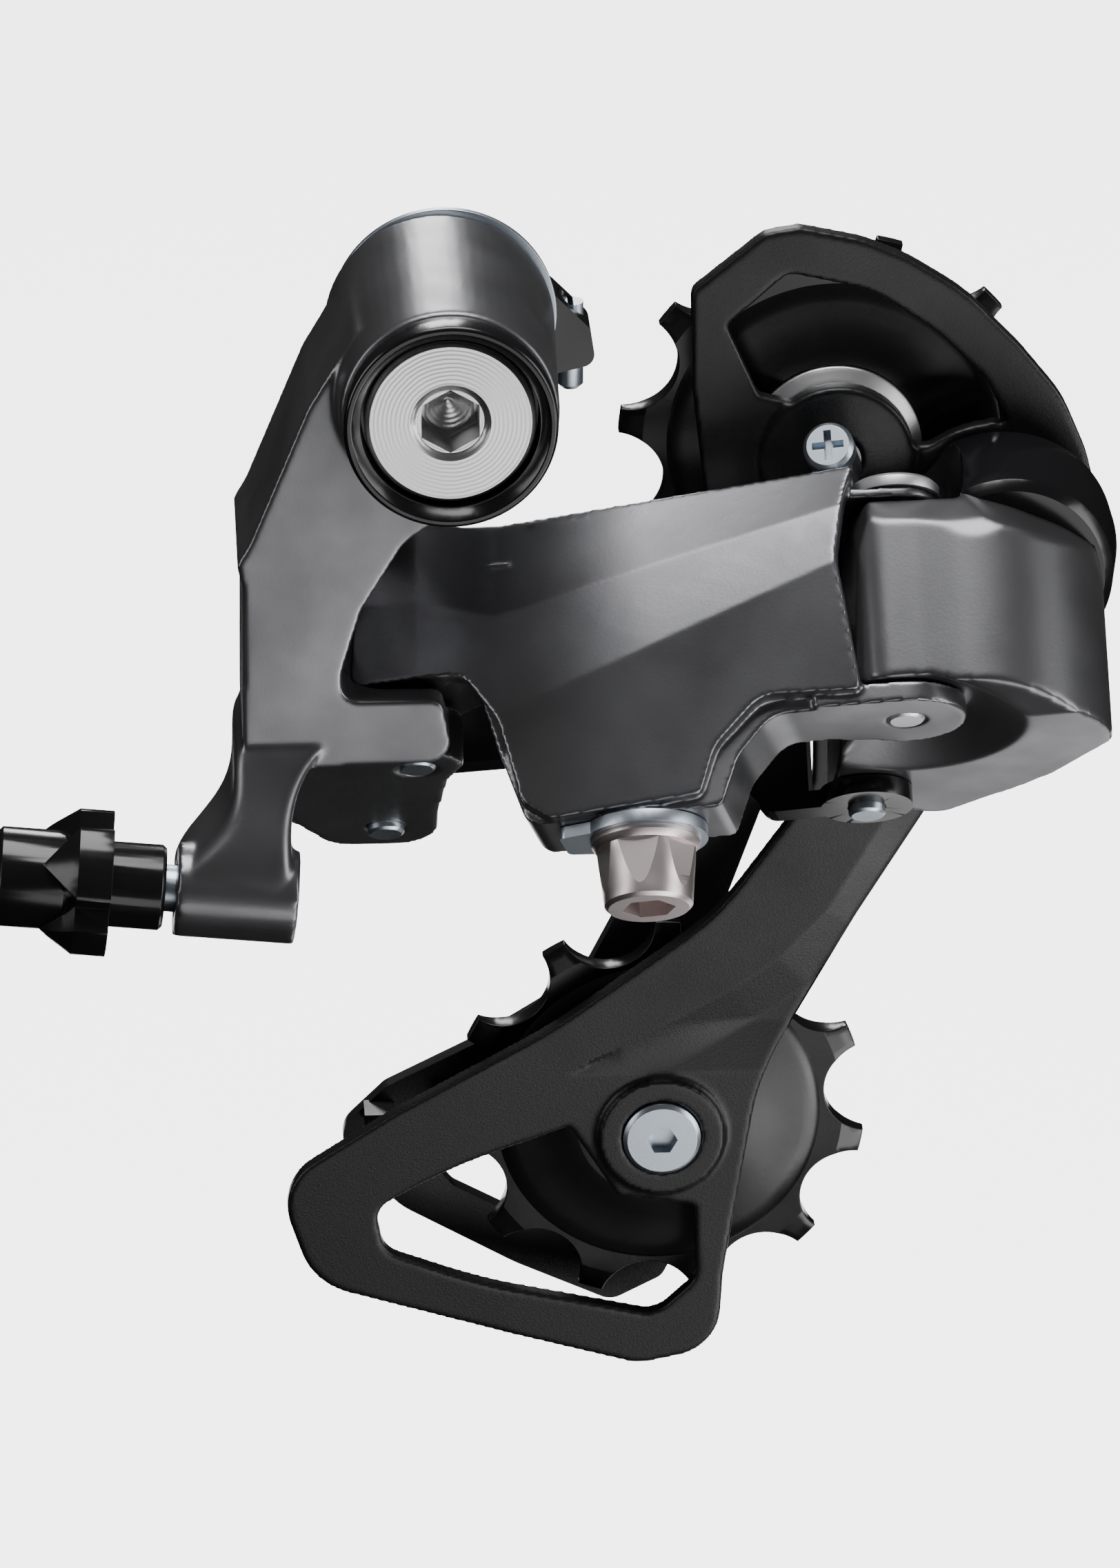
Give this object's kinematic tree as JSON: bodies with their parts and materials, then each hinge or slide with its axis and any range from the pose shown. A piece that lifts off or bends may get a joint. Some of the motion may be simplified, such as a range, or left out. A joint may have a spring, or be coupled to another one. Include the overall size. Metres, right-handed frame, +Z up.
{
  "type": "rear bicycle derailleur",
  "caption": "Rear derailleur with a slanted parallelogram linkage, cable adjuster and a sprung cage carrying two toothed pulleys.",
  "frame": {"origin": "on the hanger bolt's axis, at the hanger's outer face", "axes": "+X to the bicycle's front, +Y inboard along the hanger bolt, +Z up"},
  "size_m": [0.1215, 0.0576, 0.1411],
  "materials": {
    "cast_grey": "satin",
    "plate_black": "matte",
    "gloss_black": "gloss",
    "pulley_black": "gloss",
    "zinc": "zinc plated",
    "bright_bolt": "polished",
    "spring_steel": "bright",
    "bronze_bush": "plain",
    "bright_steel": "polished",
    "cable_bolt_steel": "bright",
    "seal_rubber": "matte"
  },
  "bodies": {
    "hanger_mount": {"mounting_bolt": "bright_bolt", "hanger_stop_plate": "gloss_black", "thrust_washer": "zinc", "b_spring": "spring_steel"},
    "b_screw": {"b_tension_screw": "zinc"},
    "bracket": {"bracket_knuckle": "cast_grey", "barrel_collar": "gloss_black", "barrel_rear_seal": "seal_rubber", "b_axle_bush": "bronze_bush", "pin_bracket_outer": "zinc", "pin_bracket_inner": "zinc"},
    "adjuster_bolt_body": {"adjuster_bolt": "zinc"},
    "adjuster_barrel": {"barrel_adjuster": "gloss_black", "adjuster_spring": "spring_steel"},
    "outer_link_body": {"outer_link": "cast_grey", "cable_clamp_washer": "zinc", "return_spring": "spring_steel"},
    "cable_bolt": {"cable_fixing_bolt": "cable_bolt_steel"},
    "low_screw": {"low_limit_screw": "zinc"},
    "high_screw": {"high_limit_screw": "zinc"},
    "inner_link_body": {"inner_link": "gloss_black"},
    "p_knuckle": {"knuckle": "cast_grey", "knuckle_spring_housing": "gloss_black", "pin_knuckle_outer": "bright_steel", "pin_knuckle_inner": "zinc", "cage_spring": "spring_steel"},
    "cage": {"outer_cage_plate": "plate_black", "inner_cage_plate": "plate_black", "cage_axle": "zinc", "cage_stop_pin": "zinc", "guide_pulley_bush": "bronze_bush", "tension_pulley_bush": "bronze_bush", "guide_cap_outer": "bright_steel", "guide_cap_inner": "bright_steel", "tension_cap_outer": "bright_steel", "tension_cap_inner": "bright_steel", "guide_pulley_bolt": "zinc", "tension_pulley_bolt": "zinc"},
    "guide_wheel": {"guide_pulley": "pulley_black"},
    "tension_wheel": {"tension_pulley": "pulley_black"}
  },
  "joints": [
    {"name": "bracket_swing", "type": "hinge", "parent": "hanger_mount", "child": "bracket", "pos_m": [0, -0.015, 0], "axis": [0, 1, 0], "range_deg": [-40, 0], "stiffness_Nm_per_rad": 0.6, "springref_deg": 51.57},
    {"name": "tension_screw_travel", "type": "slide", "parent": "hanger_mount", "child": "b_screw", "axis": [0, 0, 1], "range_m": [-0.002, 0.002]},
    {"name": "adjuster_turn", "type": "hinge", "parent": "adjuster_bolt_body", "child": "adjuster_barrel", "pos_m": [-0.0482, -0.028, -0.0519], "axis": [0.9945, 0, -0.1045], "range_deg": [0, 1080]},
    {"name": "adjuster_travel", "type": "slide", "parent": "bracket", "child": "adjuster_bolt_body", "axis": [-0.9945, 0, 0.1045], "range_m": [0, 0.003]},
    {"name": "outer_link_swing", "type": "hinge", "parent": "bracket", "child": "outer_link_body", "pos_m": [-0.0032, -0.00827, -0.03523], "axis": [0, 0.6947, 0.7193], "range_deg": [0, 50], "stiffness_Nm_per_rad": 0.35, "springref_deg": -45.84},
    {"name": "inner_link_swing", "type": "hinge", "parent": "bracket", "child": "inner_link_body", "pos_m": [-0.0062, 0.00197, -0.05068], "axis": [0, 0.6947, 0.7193], "range_deg": [0, 50]},
    {"name": "knuckle_pivot", "type": "hinge", "parent": "outer_link_body", "child": "p_knuckle", "pos_m": [0.0482, -0.01834, -0.02829], "axis": [0, 0.6947, 0.7193], "range_deg": [-50, 0]},
    {"name": "cage_swing", "type": "hinge", "parent": "p_knuckle", "child": "cage", "pos_m": [0.0604, 0, -0.0268], "axis": [0, 1, 0], "range_deg": [-75, 0], "stiffness_Nm_per_rad": 0.25, "springref_deg": 51.57},
    {"name": "guide_spin", "type": "hinge", "parent": "cage", "child": "guide_wheel", "pos_m": [0.0432, 0.009, -0.0187], "axis": [0, 1, 0], "continuous": true},
    {"name": "tension_spin", "type": "hinge", "parent": "cage", "child": "tension_wheel", "pos_m": [0.0245, 0.009, -0.0996], "axis": [0, 1, 0], "continuous": true},
    {"name": "cable_bolt_travel", "type": "slide", "parent": "outer_link_body", "child": "cable_bolt", "axis": [0, -0.6947, -0.7193], "range_m": [0, 0.003]},
    {"name": "low_screw_travel", "type": "slide", "parent": "outer_link_body", "child": "low_screw", "axis": [0.2284, 0.7003, -0.6763], "range_m": [0, 0.002]},
    {"name": "high_screw_travel", "type": "slide", "parent": "outer_link_body", "child": "high_screw", "axis": [-0.2284, -0.7003, 0.6763], "range_m": [0, 0.002]}
  ],
  "couplings": [
    {"joint": "adjuster_turn", "follows": "adjuster_travel", "rad_per_m": 6283.2},
    {"joint": "inner_link_swing", "follows": "outer_link_swing", "ratio": 1},
    {"joint": "knuckle_pivot", "follows": "outer_link_swing", "ratio": -1}
  ]
}
